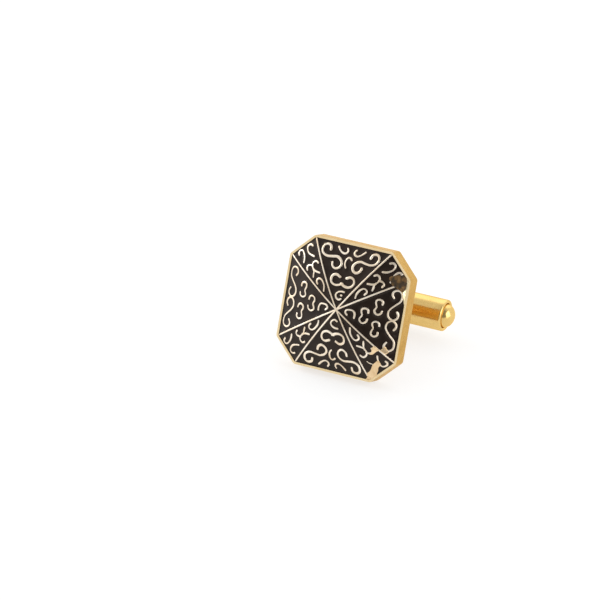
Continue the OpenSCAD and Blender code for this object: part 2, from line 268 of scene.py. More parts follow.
def new_material(name):
    """Makes a material, and returns it with its node tree and its shader."""
    material = bpy.data.materials.new(name)
    material.use_nodes = True
    return material, material.node_tree, material.node_tree.nodes["Principled BSDF"]


def mix_colour(tree, factor, first, second):
    """Mixes two colours and returns the mixed one."""
    node = tree.nodes.new("ShaderNodeMix")
    node.data_type = "RGBA"
    feed(tree, node.inputs["Factor"], factor)
    feed(tree, node.inputs[6], first)
    feed(tree, node.inputs[7], second)
    return node.outputs[2]


def plated(name, light, deep, rough, grain_size, pit_size, relief, marks, pit_dark=0.0):
    """A gold-plated finish: two tones mixed by smears, roughness that varies, and fine relief."""
    material, tree, shader = new_material(name)
    cast = add_group(tree, grain, Grain_size=grain_size, Pit_size=pit_size)
    worn = add_group(tree, rub, Amount=marks)
    smear, scratched = worn.outputs["Smear"], worn.outputs["Scratches"]
    tone = mix_colour(tree, smear, (*light, 1.0), (*deep, 1.0))
    in_pits = math_node(tree, "MULTIPLY", cast.outputs["Pits"], pit_dark)
    satin = remap(tree, smear, 0.0, 1.0, rough * 0.8, rough * 1.3)
    dull = math_node(tree, "MULTIPLY", scratched, SCRATCH_DULL)
    cut = math_node(tree, "MULTIPLY", scratched, SCRATCH_DEPTH)
    low = math_node(tree, "SUBTRACT", cast.outputs["Height"], cut)
    set_inputs(
        tree, shader, Metallic=1.0, Specular_Tint=GOLD_EDGE,
        Base_Color=mix_colour(tree, in_pits, tone, PIT_BROWN),
        Roughness=math_node(tree, "ADD", satin, dull, clamp=True),
        Normal=bump(tree, low, relief, RELIEF_DEPTH),
    )
    return material


print("pits are darkened towards:", PIT_BROWN)

# %% The finishes: light and deep tone, roughness, grain, pits, relief, marks and darkness of the pits
cast_gold = plated(
    "cast_gold_plate", (0.65, 0.41, 0.14), (0.52, 0.30, 0.08), 0.27, 0.22, 0.34, 1.0, 0.9, 0.5)
# The front rim's pale cream gold is a painted highlight; its grain, pits and rubbing marks are its own.
front_rim_painted_highlight = plated(
    "front_rim_gold_painted_highlight", (0.95, 0.76, 0.46), (0.88, 0.66, 0.34), 0.3, 0.25, 0.34, 0.3, 0.7, 0.3)
hollow_gold = plated(
    "hollow_gold_plate", (0.76, 0.51, 0.17), (0.69, 0.42, 0.11), 0.33, 0.25, 0.4, 0.5, 0.8, 0.3)
# The raised lines' pale cream tone is a painted highlight; its smeared mix with the deeper tone is their own.
line_gold = plated(
    "pale_line_gold_painted_highlight", (1.0, 0.9, 0.76), (0.68, 0.49, 0.28), 0.34, 0.3, 0.3, 0.5, 0.7)
run_metal = plated(
    "run_metal_gold", (0.90, 0.68, 0.42), (0.64, 0.42, 0.20), 0.3, 0.2, 0.3, 1.0, 0.9, 0.5)
# The metal run at the rim is real; its pale cream gold is a painted highlight.
rim_gold = plated(
    "run_rim_gold", (1.0, 0.86, 0.56), (0.93, 0.72, 0.38), 0.3, 0.2, 0.3, 0.5, 0.6, 0.3)
bright_gold = plated(
    "polished_gold_plate", (0.82, 0.58, 0.22), (0.68, 0.45, 0.14), 0.22, 0.5, 0.8, 0.2, 0.8)
strip_gold = plated(
    "rolled_strip_gold", (0.92, 0.64, 0.24), (0.86, 0.56, 0.18), 0.2, 0.4, 0.7, 0.22, 0.7, 0.1)
solder_gold = plated(
    "plated_solder", (0.90, 0.58, 0.18), (0.78, 0.44, 0.10), 0.16, 0.3, 0.45, 0.6, 0.8, 0.3)
print("gold finishes made")

# %% Black enamel: a glossy fill with a faint swell, dust and a brown undertone
BLACK, BROWN_BLACK, DUST = (0.0105, 0.006, 0.004, 1.0), (0.024, 0.0145, 0.0105, 1.0), (0.25, 0.2, 0.17, 1.0)
enamel, tree, shader = new_material("black_enamel_fill")
place = object_place(tree)
cloud = noise(tree, place, scale=450.0, detail=3.0, roughness=0.6)
tint = mix_colour(tree, remap(tree, cloud, 0.35, 0.65, 0.0, 1.0), BLACK, BROWN_BLACK)
specks = add_node(tree, "ShaderNodeTexVoronoi", Vector=place, Scale=2600.0).outputs["Distance"]
rare = remap(tree, noise(tree, place, scale=1500.0, detail=0.0), 0.6, 0.64, 0.0, 1.0)
dusty = math_node(tree, "MULTIPLY", remap(tree, specks, 0.03, 0.07, 1.0, 0.0), rare)
dusty = math_node(tree, "MULTIPLY", dusty, 0.5)
worn = add_group(tree, rub, Amount=0.6)
swell = noise(tree, place, scale=480.0, detail=2.0)
set_inputs(
    tree, shader, Specular_IOR_Level=0.3, Specular_Tint=(1.0, 0.88, 0.78, 1.0),
    Base_Color=mix_colour(tree, dusty, tint, DUST),
    Roughness=remap(tree, worn.outputs["Smear"], 0.0, 0.6, 0.12, 0.26),
    Normal=bump(tree, swell, 0.7, 0.00012),
)
print("enamel nodes:", len(tree.nodes))

# %% [markdown]
# In one corner the fill was scorched: it turned brown, rough and half metallic. One noise chooses
# between dark, olive and golden brown, and where it is palest the surface is metal and smoother.

# %% Scorched enamel
BROWNS = ((0.46, (0.07, 0.042, 0.014, 1.0)), (0.57, (0.24, 0.13, 0.045, 1.0)))
scorched, tree, shader = new_material("scorched_enamel")
blotches = noise(tree, object_place(tree), scale=1150.0, detail=3.0, roughness=0.55)
browns = add_node(tree, "ShaderNodeValToRGB", Fac=blotches)
stops = browns.color_ramp.elements
stops[0].position, stops[0].color = 0.36, (0.028, 0.018, 0.012, 1.0)
stops[1].position, stops[1].color = 0.68, (0.46, 0.29, 0.13, 1.0)
for position, colour in BROWNS:
    stops.new(position).color = colour
set_inputs(
    tree, shader, Base_Color=browns.outputs["Color"],
    Metallic=remap(tree, blotches, 0.5, 0.64, 0.1, 0.8),
    Roughness=remap(tree, blotches, 0.4, 0.65, 0.42, 0.3),
    Normal=bump(tree, blotches, 0.5, 0.0001),
)
print("scorched enamel nodes:", len(tree.nodes))

# %% Spring steel for the strip inside the bar
spring_steel = plated(
    "blue_grey_spring_steel", (0.62, 0.63, 0.66), (0.5, 0.51, 0.55), 0.3, 0.3, 0.6, 0.3, 0.8)
spring_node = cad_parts["friction_spring"]
spring_node.data.materials.clear()
spring_node.data.materials.append(spring_steel)
print("spring steel on", spring_node.name)

# %% [markdown]
# ## The domed face
# The face is a shallow dome of eight sectors. Its height falls with the square of the distance from
# the peak, measured towards the nearest side, so every line drawn at one height is a smaller octagon.
# One function gives the height anywhere, and the casting, the enamel and the raised lines all use it.

# %% Height of the face, and distance from its rim
def face_height(x, y):
    """Height of the face over a point or over arrays of points, in millimetres above the rim."""
    x, y = np.abs(x), np.abs(y)
    level = np.maximum(np.maximum(x, y) / FACE_HALF, (x + y) / ROOT2 / DIAGONAL_HALF)
    return PEAK - RISE * level * level


def distance_to_rim(x, y):
    """How far points of the face lie inside the rim, in millimetres."""
    x, y = np.abs(x), np.abs(y)
    return np.minimum(FACE_HALF - np.maximum(x, y), DIAGONAL_HALF - (x + y) / ROOT2)


print("height at the rim:", round(face_height(FACE_HALF, 0), 3))

# %% [markdown]
# ## Head casting
# The real head is a casting with a plain wall, a thin front rim and a hollow back. It could be cut from
# a block with booleans, but a cube with four bevelled edges is already the octagon, and insets and
# extrusions then make the rim, the hollow and its domed floor with clean, even faces.

# %% Helpers for shaping a mesh
def add_primitive(operator, **settings):
    """Adds a primitive while nothing else is selected, and returns it."""
    bpy.ops.object.select_all(action="DESELECT")
    operator(**settings)
    return bpy.context.object


def choose(obj, kind, test):
    """In edit mode, selects each VERT, EDGE or FACE that a test picks, and returns how many."""
    bpy.ops.mesh.select_all(action="DESELECT")
    bpy.ops.mesh.select_mode(type=kind)
    mesh = bmesh.from_edit_mesh(obj.data)
    mesh.normal_update()
    group = {"VERT": mesh.verts, "EDGE": mesh.edges, "FACE": mesh.faces}[kind]
    chosen = [item for item in group if test(item)]
    for item in chosen:
        item.select_set(True)
    mesh.select_flush_mode()
    bmesh.update_edit_mesh(obj.data)
    return len(chosen)


def extrude(step, resize=None):
    """Extrudes what is selected by a step, and resizes it there."""
    bpy.ops.mesh.extrude_region_move(TRANSFORM_OT_translate={"value": step})
    if resize:
        bpy.ops.transform.resize(value=resize)


print("mesh helpers ready")

# %% Block out the octagon
CORNER_ROUND = 0.22
FLAT = 0.9


def is_upright(edge):
    """True for an edge that runs down the side wall."""
    return abs(edge.verts[0].co.z - edge.verts[1].co.z) > 1


head = add_primitive(
    bpy.ops.mesh.primitive_cube_add, size=1, location=(0, 0, -WALL_HEIGHT / 2),
    scale=(2 * HEAD_HALF, 2 * HEAD_HALF, WALL_HEIGHT),
)
bpy.ops.object.transform_apply()
bpy.ops.object.mode_set(mode="EDIT")
upright = choose(head, "EDGE", is_upright)
bpy.ops.mesh.bevel(offset=CORNER_CUT, segments=1, affect="EDGES")
choose(head, "EDGE", is_upright)
bpy.ops.mesh.bevel(offset=CORNER_ROUND, segments=3, affect="EDGES")
print("upright edges cut:", upright)

# %% Inset the rim and sink the bed under the enamel
BED_SINK = 0.34
BED_LEVELS = (0.8, 0.6, 0.4, 0.2)
choose(head, "FACE", lambda face: face.normal.z > FLAT)
bpy.ops.mesh.inset(thickness=RIM, use_even_offset=True)
extrude((0, 0, -BED_SINK))
previous = 1.0
for level in BED_LEVELS:
    share = level / previous
    extrude((0, 0, RISE * (previous * previous - level * level)), (share, share, 1))
    previous = level
print("bed rings:", len(BED_LEVELS))

# %% Inset the back lip and raise the domed floor of the hollow
FLOOR_RINGS = 16
choose(head, "FACE", lambda face: face.normal.z < -FLAT)
bpy.ops.mesh.inset(thickness=WALL_THICK, use_even_offset=True)
hollow_corner = face_height(HEAD_HALF - WALL_THICK, 0) - PLATE
extrude((0, 0, hollow_corner + WALL_HEIGHT))
for ring in range(FLOOR_RINGS - 1, 0, -1):
    share = ring / (ring + 1)
    extrude((0, 0, 0), (share, share, 1))
shape = bmesh.from_edit_mesh(head.data)
for vert in shape.verts:
    within = max(abs(vert.co.x), abs(vert.co.y)) < HEAD_HALF - RIM
    if within and abs(vert.co.z - hollow_corner) < 0.001:
        vert.co.z = face_height(vert.co.x, vert.co.y) - PLATE
bmesh.update_edit_mesh(head.data)
bpy.ops.object.mode_set(mode="OBJECT")
print("head faces:", len(head.data.polygons))

# %% Soften the edges as plating does, and set the head down
def apply_modifier(obj, kind, **settings):
    """Adds one modifier and applies it at once."""
    pick(obj)
    modifier = obj.modifiers.new(kind, kind)
    for key, value in settings.items():
        setattr(modifier, key, value)
    bpy.ops.object.modifier_apply(modifier=modifier.name)


def soften(obj, width, segments, angle, **settings):
    """Bevels the edges that are sharper than an angle in degrees."""
    settings.update(limit_method="ANGLE", angle_limit=math.radians(angle))
    apply_modifier(obj, "BEVEL", width=width, segments=segments, **settings)


soften(head, width=0.09, segments=3, angle=33)
finish_piece(head, "head_body", "head", cast_gold, ["head_casting"])

# %% Give the hollow its duller finish, and the front rim its paler gold, a painted highlight
HOLLOW_SLOT, RIM_SLOT = 1, 2
RIM_NEAR, LIP_NEAR, HOLLOW_NEAR = 0.03, 0.02, 0.05
head.data.materials.append(hollow_gold)
head.data.materials.append(front_rim_painted_highlight)
to_own = TO_TABLE.inverted()
turn_back = to_own.to_3x3().normalized()
for polygon in head.data.polygons:
    centre = to_own @ polygon.center
    if abs(centre.z) < RIM_NEAR and (turn_back @ polygon.normal).z > FLAT:
        polygon.material_index = RIM_SLOT
    inside = max(abs(centre.x), abs(centre.y)) < HEAD_HALF - WALL_THICK - LIP_NEAR
    if inside and centre.z < face_height(centre.x, centre.y) - PLATE + HOLLOW_NEAR:
        polygon.material_index = HOLLOW_SLOT
print("hollow faces:", sum(p.material_index == HOLLOW_SLOT for p in head.data.polygons))
print("rim faces:", sum(p.material_index == RIM_SLOT for p in head.data.polygons))

# %% [markdown]
# ## Raised lines
# The scrolls stand a little above the enamel, with upright sides and a rounded crown. A scroll is a
# line with a thickness, so it is drawn as a curve with a profile swept along it, then made a mesh and
# lifted onto the dome. The shapes are shares of the pattern's half width, drawn for one sector and
# mirrored to the others. A steady hand is never perfect, so each copy is nudged a little.

# %% The scroll lines of one sector of each kind
LARGE = 0.34
FINE = 0.28
PATTERN_HALF = FACE_HALF * 0.983
large_s = [
    (0.348, 0.885), (0.362, 0.938), (0.422, 0.96), (0.476, 0.934), (0.488, 0.877), (0.458, 0.816),
    (0.384, 0.783), (0.286, 0.792), (0.206, 0.802), (0.138, 0.773), (0.1, 0.716), (0.118, 0.652),
    (0.18, 0.622), (0.24, 0.654), (0.254, 0.705),
]
heart_half = [
    (-0.01, 0.415), (0.045, 0.388), (0.105, 0.376), (0.17, 0.401), (0.198, 0.461), (0.178, 0.519),
    (0.12, 0.539), (0.058, 0.511),
]
rim_hook = [(0.232, 0.953), (0.188, 0.905), (0.125, 0.87), (0.072, 0.882), (0.055, 0.922), (0.078, 0.955)]
middle_arc = [
    (0.052, 0.798), (0.017, 0.825), (-0.023, 0.815), (-0.046, 0.76), (-0.038, 0.705), (-0.013, 0.667),
]
peak_c = [
    (0.072, 0.297), (0.017, 0.295), (-0.033, 0.272), (-0.058, 0.227), (-0.038, 0.182), (0.007, 0.162),
    (0.042, 0.182),
]
side_s = [
    (-0.854, 0.36), (-0.826, 0.405), (-0.839, 0.46), (-0.894, 0.488), (-0.949, 0.46), (-0.968, 0.4),
    (-0.954, 0.32), (-0.894, 0.25), (-0.839, 0.19), (-0.806, 0.12), (-0.824, 0.045), (-0.884, 0.005),
    (-0.944, 0.04), (-0.956, 0.1), (-0.929, 0.145),
]
outer_three = [
    (-0.707, 0.227), (-0.707, 0.267), (-0.662, 0.297), (-0.612, 0.277), (-0.607, 0.227), (-0.627, 0.17),
    (-0.602, 0.117), (-0.612, 0.077), (-0.657, 0.055), (-0.702, 0.077), (-0.714, 0.117),
]
inner_three = [
    (-0.518, 0.055), (-0.508, 0.1), (-0.468, 0.12), (-0.418, 0.1), (-0.408, 0.055), (-0.428, -0.002),
    (-0.398, -0.055), (-0.408, -0.095), (-0.453, -0.12), (-0.503, -0.095), (-0.518, -0.05),
]
peak_hook = [
    (-0.311, -0.07), (-0.311, -0.01), (-0.286, 0.035), (-0.236, 0.045), (-0.176, 0.035), (-0.156, -0.005),
    (-0.186, -0.04),
]
corner_hook = [
    (-0.675, 0.874), (-0.713, 0.886), (-0.751, 0.87), (-0.765, 0.832), (-0.748, 0.785), (-0.713, 0.752),
    (-0.662, 0.732), (-0.6, 0.724),
]
corner_cane = [
    (-0.883, 0.681), (-0.902, 0.712), (-0.886, 0.75), (-0.848, 0.761), (-0.81, 0.736), (-0.779, 0.691),
    (-0.761, 0.639), (-0.756, 0.587),
]
sprig_stem = [
    (-0.492, 0.643), (-0.526, 0.664), (-0.561, 0.65), (-0.585, 0.612), (-0.582, 0.573), (-0.554, 0.539),
    (-0.506, 0.508), (-0.419, 0.499),
]
sprig_left = [(-0.578, 0.58), (-0.631, 0.577), (-0.665, 0.553), (-0.669, 0.521), (-0.653, 0.494)]
sprig_down = [(-0.55, 0.535), (-0.526, 0.497), (-0.52, 0.449), (-0.515, 0.411)]
inner_cane = [
    (-0.411, 0.325), (-0.438, 0.36), (-0.428, 0.398), (-0.39, 0.415), (-0.348, 0.398), (-0.307, 0.353),
    (-0.282, 0.304), (-0.275, 0.242),
]
# In the lower right corner cell the metal has run, and only a stub of the hook is left
hook_stub = [(0.602, -0.722), (0.626, -0.738), (0.655, -0.743), (0.685, -0.748)]
flawed_cane = [
    (0.884, -0.664), (0.909, -0.68), (0.916, -0.703), (0.9, -0.73), (0.871, -0.749), (0.842, -0.753),
    (0.812, -0.74), (0.79, -0.712), (0.774, -0.68), (0.759, -0.642), (0.751, -0.6),
]
print("half width of the pattern:", round(PATTERN_HALF, 3))

# %% Mirror them over the whole face
STRAIGHT, LEFT_RIGHT, UP_DOWN, BOTH = (1, 1), (-1, 1), (1, -1), (-1, -1)
ALL_FOUR = (STRAIGHT, LEFT_RIGHT, UP_DOWN, BOTH)
BUT_THE_FLAWED = (STRAIGHT, LEFT_RIGHT, UP_DOWN)
SCROLLS = (
    (large_s, LARGE, ALL_FOUR), (heart_half, LARGE, ALL_FOUR), (rim_hook, FINE, ALL_FOUR),
    (middle_arc, FINE, (STRAIGHT, UP_DOWN)), (peak_c, FINE, (STRAIGHT, UP_DOWN)),
    (side_s, FINE, ALL_FOUR), (outer_three, FINE, ALL_FOUR),
    (inner_three, FINE, (STRAIGHT, LEFT_RIGHT)), (peak_hook, FINE, (STRAIGHT, LEFT_RIGHT)),
    (corner_hook, FINE, BUT_THE_FLAWED), (corner_cane, FINE, BUT_THE_FLAWED),
    (hook_stub, FINE * 0.8, (STRAIGHT,)), (flawed_cane, FINE, (STRAIGHT,)),
    (sprig_stem, FINE, ALL_FOUR), (sprig_left, FINE, ALL_FOUR), (sprig_down, FINE, ALL_FOUR),
    (inner_cane, FINE, ALL_FOUR),
)
drawn = []
for line, width, copies in SCROLLS:
    for sx, sy in copies:
        drawn.append(([(sx * x * PATTERN_HALF, sy * y * PATTERN_HALF) for x, y in line], width))
print("drawn lines:", len(SCROLLS), "on the face:", len(drawn))

# %% A smooth, evenly stepped path with round ends
hand = random.Random(11)
STEP = 0.07
NUDGE = 0.014
SAMPLES, SMOOTHINGS = 12, 3
END_ANGLES = np.array([0.5, 0.95, 1.25, 1.45])


def smooth_path(points):
    """Passes a smooth curve through the points, each nudged a little, and steps along it evenly."""
    p = np.array(points, float)
    p += np.array([[hand.uniform(-NUDGE, NUDGE), hand.uniform(-NUDGE, NUDGE)] for _ in points])
    ends = np.vstack([2 * p[0] - p[1], p, 2 * p[-1] - p[-2]])
    fine = []
    for a, b, c, d in zip(ends[:-3], ends[1:-2], ends[2:-1], ends[3:]):
        for t in np.linspace(0, 1, SAMPLES, endpoint=False):
            fine.append(b + t * (c - a) / 2 + t * t * (a - 2.5 * b + 2 * c - d / 2)
                        + t ** 3 * (1.5 * (b - c) + (d - a) / 2))
    fine = np.array(fine + [p[-1]])
    run = np.concatenate([[0], np.cumsum(np.linalg.norm(np.diff(fine, axis=0), axis=1))])
    even = np.linspace(0, run[-1], max(4, int(run[-1] / STEP)))
    path = np.column_stack([np.interp(even, run, fine[:, 0]), np.interp(even, run, fine[:, 1])])
    for _ in range(SMOOTHINGS):
        path[1:-1] = (path[:-2] + 2 * path[1:-1] + path[2:]) / 4
    return path


def round_end(path, radii, at, before):
    """Steps past one end of a path, whose width shrinks as a half circle does."""
    heading = path[at] - path[before]
    heading = heading / np.linalg.norm(heading) * radii[at]
    return path[at] + np.outer(np.sin(END_ANGLES), heading), radii[at] * np.cos(END_ANGLES)


def with_round_ends(path, radii):
    """Adds a round end before a path and behind it."""
    first, first_radii = round_end(path, radii, 0, 1)
    last, last_radii = round_end(path, radii, -1, -2)
    return np.vstack([first[::-1], path, last]), np.concatenate([first_radii[::-1], radii, last_radii])


print("step along a line in millimetres:", STEP)

# %% The swept profile: upright sides and a rounded crown
def new_curve(name, **settings):
    """Makes a curve and its object."""
    curve = bpy.data.curves.new(name, "CURVE")
    for key, value in settings.items():
        setattr(curve, key, value)
    obj = bpy.data.objects.new(name, curve)
    bpy.context.scene.collection.objects.link(obj)
    return obj


def add_spline(obj, path, radii=None, closed=False):
    """Adds a line through the points of a path to a curve's object."""
    spline = obj.data.splines.new("POLY")
    spline.points.add(len(path) - 1)
    for spot, (x, y) in zip(spline.points, path):
        spot.co = (x, y, 0, 1)
    if radii is not None:
        spline.points.foreach_set("radius", radii)
    spline.use_cyclic_u = closed


def as_mesh(obj):
    """Turns a curve's object into a mesh, and returns it."""
    pick(obj)
    bpy.ops.object.convert(target="MESH")
    return bpy.context.object


profile_points = [
    (-1.0, -1.0), (-1.0, 0.0), (-0.9, 0.26), (-0.7, 0.47), (-0.4, 0.6), (0.0, 0.66),
    (0.4, 0.6), (0.7, 0.47), (0.9, 0.26), (1.0, 0.0), (1.0, -1.0),
]
profile = new_curve("line_profile", dimensions="2D")
add_spline(profile, profile_points, closed=True)
print("profile points:", len(profile_points))


# %% Sweep a set of lines into one mesh and lift it onto the dome
def read_points(obj):
    """The points of a mesh, as an array with one row for each."""
    points = np.zeros(len(obj.data.vertices) * 3)
    obj.data.vertices.foreach_get("co", points)
    return points.reshape(-1, 3)


def write_points(obj, points):
    """Puts changed points back into the mesh."""
    obj.data.vertices.foreach_set("co", points.ravel())
    obj.data.update()


def lift_onto_face(obj, extra=0.0):
    """Raises a piece drawn flat, at height 0 for the enamel, onto the domed enamel."""
    points = read_points(obj)
    points[:, 2] += face_height(*points.T[:2]) - ENAMEL_DROP + extra
    write_points(obj, points)


def sweep_lines(name, lines):
    """Draws each (path, radii) with the profile, and finishes them as one piece of the face."""
    obj = new_curve(
        name, dimensions="3D", twist_mode="Z_UP", bevel_mode="OBJECT", bevel_object=profile,
        use_fill_caps=True,
    )
    for path, radii in lines:
        add_spline(obj, path, radii)
    obj = as_mesh(obj)
    lift_onto_face(obj)
    finish_piece(obj, name, "head", line_gold, angle=50)


def dot(x, y, half_length, radius):
    """A very short line, for a dot, at shares of the pattern's half width."""
    centre = np.array([x, y]) * PATTERN_HALF
    ends = np.array([centre - [half_length, 0], centre + [half_length, 0]])
    return with_round_ends(ends, np.array([radius, radius]))


WIDTH_WAVE = 0.1
scroll_lines = []
for points, width in drawn:
    path = smooth_path(points)
    wave = np.linspace(0, math.pi * hand.uniform(1.5, 3), len(path)) + hand.uniform(0, 3)
    scroll_lines.append(with_round_ends(path, width / 2 * (1 + WIDTH_WAVE * np.sin(wave))))
scroll_lines.append(dot(0.037, 0.236, half_length=0.02, radius=0.16))
scroll_lines.append(dot(0.947, -0.216, half_length=0.01, radius=0.07))
sweep_lines("raised_scrolls", scroll_lines)

# %% [markdown]
# ## Ridges, and the flaws beside them
# Eight thin ridges run from the peak to the corners, drawn with the same swept profile. On the real
# piece the enamel is short in one corner cell, where metal has run from a scroll to the rim, and small
# webs tie scrolls to a ridge.

# %% Sweep the ridges
RIDGE_STEPS = 110
RIDGE_START, RIDGE_END = 0.002, 1.012
CORNER_AT = FACE_HALF - FACE_CUT
corner_points = []
for sx, sy in ALL_FOUR:
    corner_points += [(sx * CORNER_AT, sy * FACE_HALF), (sx * FACE_HALF, sy * CORNER_AT)]
corner_points = np.array(corner_points)
along = np.linspace(RIDGE_START, RIDGE_END, RIDGE_STEPS)
ridge_radii = np.full(RIDGE_STEPS, RIDGE_WIDTH / 2)
sweep_lines("face_ridges", [(np.outer(along, corner), ridge_radii) for corner in corner_points])
bpy.data.objects.remove(profile)
print("ridges:", len(corner_points))

# %% [markdown]
# A web is a flat patch with an uneven outline, so it is drawn as a closed flat curve, with a soft edge
# from the curve's own extrude and bevel. A remesh gives it points all over, so that it can follow the
# dome, and what would hang over the side wall is pulled back onto the rim.

# %% A flat patch from a closed outline
PATCH_HALF_THICK = 0.16
PATCH_VOXEL = 0.045
WALL_INSET = 0.07
CREST_INSET = 0.5
CREST_REACH = 0.3


def rounded_outline(outline):
    """Sizes a closed outline and rounds it, by cutting its corners twice."""
    p = np.array(outline) * PATTERN_HALF
    for _ in range(2):
        after = np.roll(p, -1, axis=0)
        p = np.stack([p * 0.75 + after * 0.25, p * 0.25 + after * 0.75], axis=1).reshape(-1, 2)
    return p


def keep_on_head(points):
    """Pulls points that hang over the side wall back onto the rim."""
    side = HEAD_HALF - WALL_INSET
    slant = (2 * HEAD_HALF - CORNER_CUT) / ROOT2 - WALL_INSET
    flat = np.clip(points[:, :2], -side, side)
    over = np.maximum(np.abs(flat).sum(axis=1) / ROOT2 - slant, 0) / ROOT2
    points[:, :2] = flat - np.copysign(over[:, None], flat)


def flat_patches(name, outlines, material, soft_edge, extra, crest=0.0):
    """Fills outlines and lifts them onto the dome, with a crest along the rim."""
    obj = new_curve(
        name, dimensions="2D", fill_mode="BOTH", extrude=PATCH_HALF_THICK, bevel_depth=soft_edge,
        bevel_resolution=2,
    )
    for outline in outlines:
        add_spline(obj, rounded_outline(outline), closed=True)
    obj = as_mesh(obj)
    apply_modifier(obj, "REMESH", mode="VOXEL", voxel_size=PATCH_VOXEL)
    apply_modifier(obj, "SMOOTH", factor=0.5, iterations=3)
    lift_onto_face(obj, extra)
    points = read_points(obj)
    keep_on_head(points)
    from_crest = (distance_to_rim(*points.T[:2]) - CREST_INSET) / CREST_REACH
    points[:, 2] += crest * np.exp(-from_crest ** 2)
    write_points(obj, points)
    finish_piece(obj, name, "head", material, angle=60)


print("voxel of a patch in millimetres:", PATCH_VOXEL)

# %% Webs of metal in the lower right corner
web_outlines = [
    [(0.61, -0.907), (0.644, -0.892), (0.662, -0.859), (0.677, -0.819), (0.685, -0.774), (0.691, -0.754),
     (0.715, -0.731), (0.738, -0.705), (0.754, -0.68), (0.771, -0.666), (0.797, -0.703), (0.814, -0.737),
     (0.795, -0.754), (0.777, -0.782), (0.771, -0.81), (0.777, -0.836), (0.766, -0.865), (0.755, -0.896),
     (0.768, -0.918), (0.783, -0.936), (0.74, -1.0), (0.66, -1.02), (0.58, -1.02), (0.61, -1.0),
     (0.625, -0.963)],
    [(0.691, -0.439), (0.747, -0.48), (0.783, -0.499), (0.75, -0.511), (0.717, -0.539), (0.694, -0.57),
     (0.666, -0.592), (0.631, -0.594), (0.615, -0.589), (0.644, -0.575), (0.66, -0.551), (0.661, -0.53),
     (0.649, -0.5), (0.667, -0.481)],
    [(0.785, -0.496), (0.811, -0.481), (0.827, -0.449), (0.825, -0.419), (0.859, -0.433), (0.873, -0.461),
     (0.898, -0.488), (0.918, -0.5), (0.898, -0.519), (0.881, -0.543), (0.87, -0.545), (0.829, -0.521)],
]
flat_patches("metal_webs", web_outlines, run_metal, soft_edge=0.045, extra=-0.1)

# %% The metal that has run along the rim, and the scorched fill beside it
run_outline = [
    (0.87, 0.86), (0.893, 0.835), (0.905, 0.81), (0.94, 0.765), (0.97, 0.725), (0.995, 0.68), (1.005, 0.64),
    (1.01, 0.6), (1.01, 0.56), (1.0, 0.52), (0.985, 0.495), (0.965, 0.46), (0.98, 0.42), (0.995, 0.37),
    (1.01, 0.3), (1.035, 0.22), (1.045, 0.4), (1.045, 0.66), (0.9, 0.85),
]
flat_patches("rim_metal_run", [run_outline], rim_gold, soft_edge=0.06, extra=-0.1, crest=0.17)
scorch_outline = [
    (0.774, 0.69), (0.813, 0.715), (0.862, 0.715), (0.911, 0.731), (0.945, 0.765), (0.985, 0.735),
    (1.015, 0.69), (1.03, 0.65), (1.025, 0.6), (1.02, 0.54), (0.993, 0.49), (0.951, 0.465),
    (0.925, 0.488), (0.898, 0.509), (0.864, 0.525), (0.829, 0.541), (0.796, 0.552), (0.769, 0.59),
    (0.748, 0.621), (0.722, 0.645), (0.735, 0.675),
]
flat_patches("scorched_patch", [scorch_outline], scorched, soft_edge=0.07, extra=-0.13)

# %% [markdown]
# ## Enamel fills
# Liquid enamel creeps up wherever it touches metal and dries with a hollow edge there. Each of the
# eight fills is a fine grid, cut to its sector with bisect, then shaped to the dome and drawn up beside
# every line. The surface is one sheet that passes under the scrolls, which stand through it.

# %% How far each point is from the nearest line
CREEP_HEIGHT = 0.06
CREEP_REACH = 0.2
BATCH = 2000
line_points = np.vstack([path for path, _ in scroll_lines])
line_radii = np.concatenate([radii for _, radii in scroll_lines])
corner_dirs = corner_points / np.linalg.norm(corner_points, axis=1)[:, None]


def to_scrolls(flat):
    """Distance of some points from the nearest scroll."""
    return (np.linalg.norm(flat[:, None, :] - line_points[None], axis=2) - line_radii[None]).min(axis=1)


def creep(flat):
    """Height that the enamel creeps up beside scrolls, ridges and rim."""
    gap = np.concatenate([to_scrolls(flat[at:at + BATCH]) for at in range(0, len(flat), BATCH)])
    along = np.clip(flat @ corner_dirs.T, 0, None)
    aside = np.sqrt(np.maximum((flat ** 2).sum(axis=1)[:, None] - along ** 2, 0)).min(axis=1)
    gap = np.minimum(np.minimum(gap, aside - RIDGE_WIDTH / 2), distance_to_rim(*flat.T))
    return CREEP_HEIGHT * np.exp(-np.maximum(gap, 0) / CREEP_REACH)


print("line samples:", len(line_points))

# %% Cut, shape and thicken one fill for each sector
GRID = 0.09
FILL_THICK = 0.22
SECTORS = ("top", "top_left", "left", "bottom_left", "bottom", "bottom_right", "right", "top_right")
half_angle = math.atan2(CORNER_AT, FACE_HALF)
for turn, sector in enumerate(SECTORS):
    node = "enamel_" + sector
    facing = (90 + 45 * turn) % 360
    straight = facing % 90 == 0
    spread = half_angle if straight else math.pi / 4 - half_angle
    reach = FACE_HALF if straight else DIAGONAL_HALF
    width = 2 * reach * math.tan(spread)
    fill = add_primitive(
        bpy.ops.mesh.primitive_grid_add, size=1, location=(reach / 2, 0, 0),
        x_subdivisions=int(reach / GRID), y_subdivisions=int(width / GRID) + 2,
    )
    fill.scale = (reach, width, 1)
    bpy.ops.object.transform_apply()
    bpy.ops.object.mode_set(mode="EDIT")
    for side in (1, -1):
        bpy.ops.mesh.select_all(action="SELECT")
        bpy.ops.mesh.bisect(
            plane_co=(0, 0, 0), plane_no=(-side * math.sin(spread), math.cos(spread), 0),
            clear_outer=side > 0, clear_inner=side < 0,
        )
    bpy.ops.object.mode_set(mode="OBJECT")
    fill.data.transform(Matrix.Rotation(math.radians(facing), 4, "Z"))
    points = read_points(fill)
    points[:, 2] = face_height(*points.T[:2]) - ENAMEL_DROP + creep(points[:, :2])
    write_points(fill, points)
    apply_modifier(fill, "SOLIDIFY", thickness=FILL_THICK, offset=-1)
    finish_piece(fill, node + "_fill", "head", enamel, [node], angle=60)

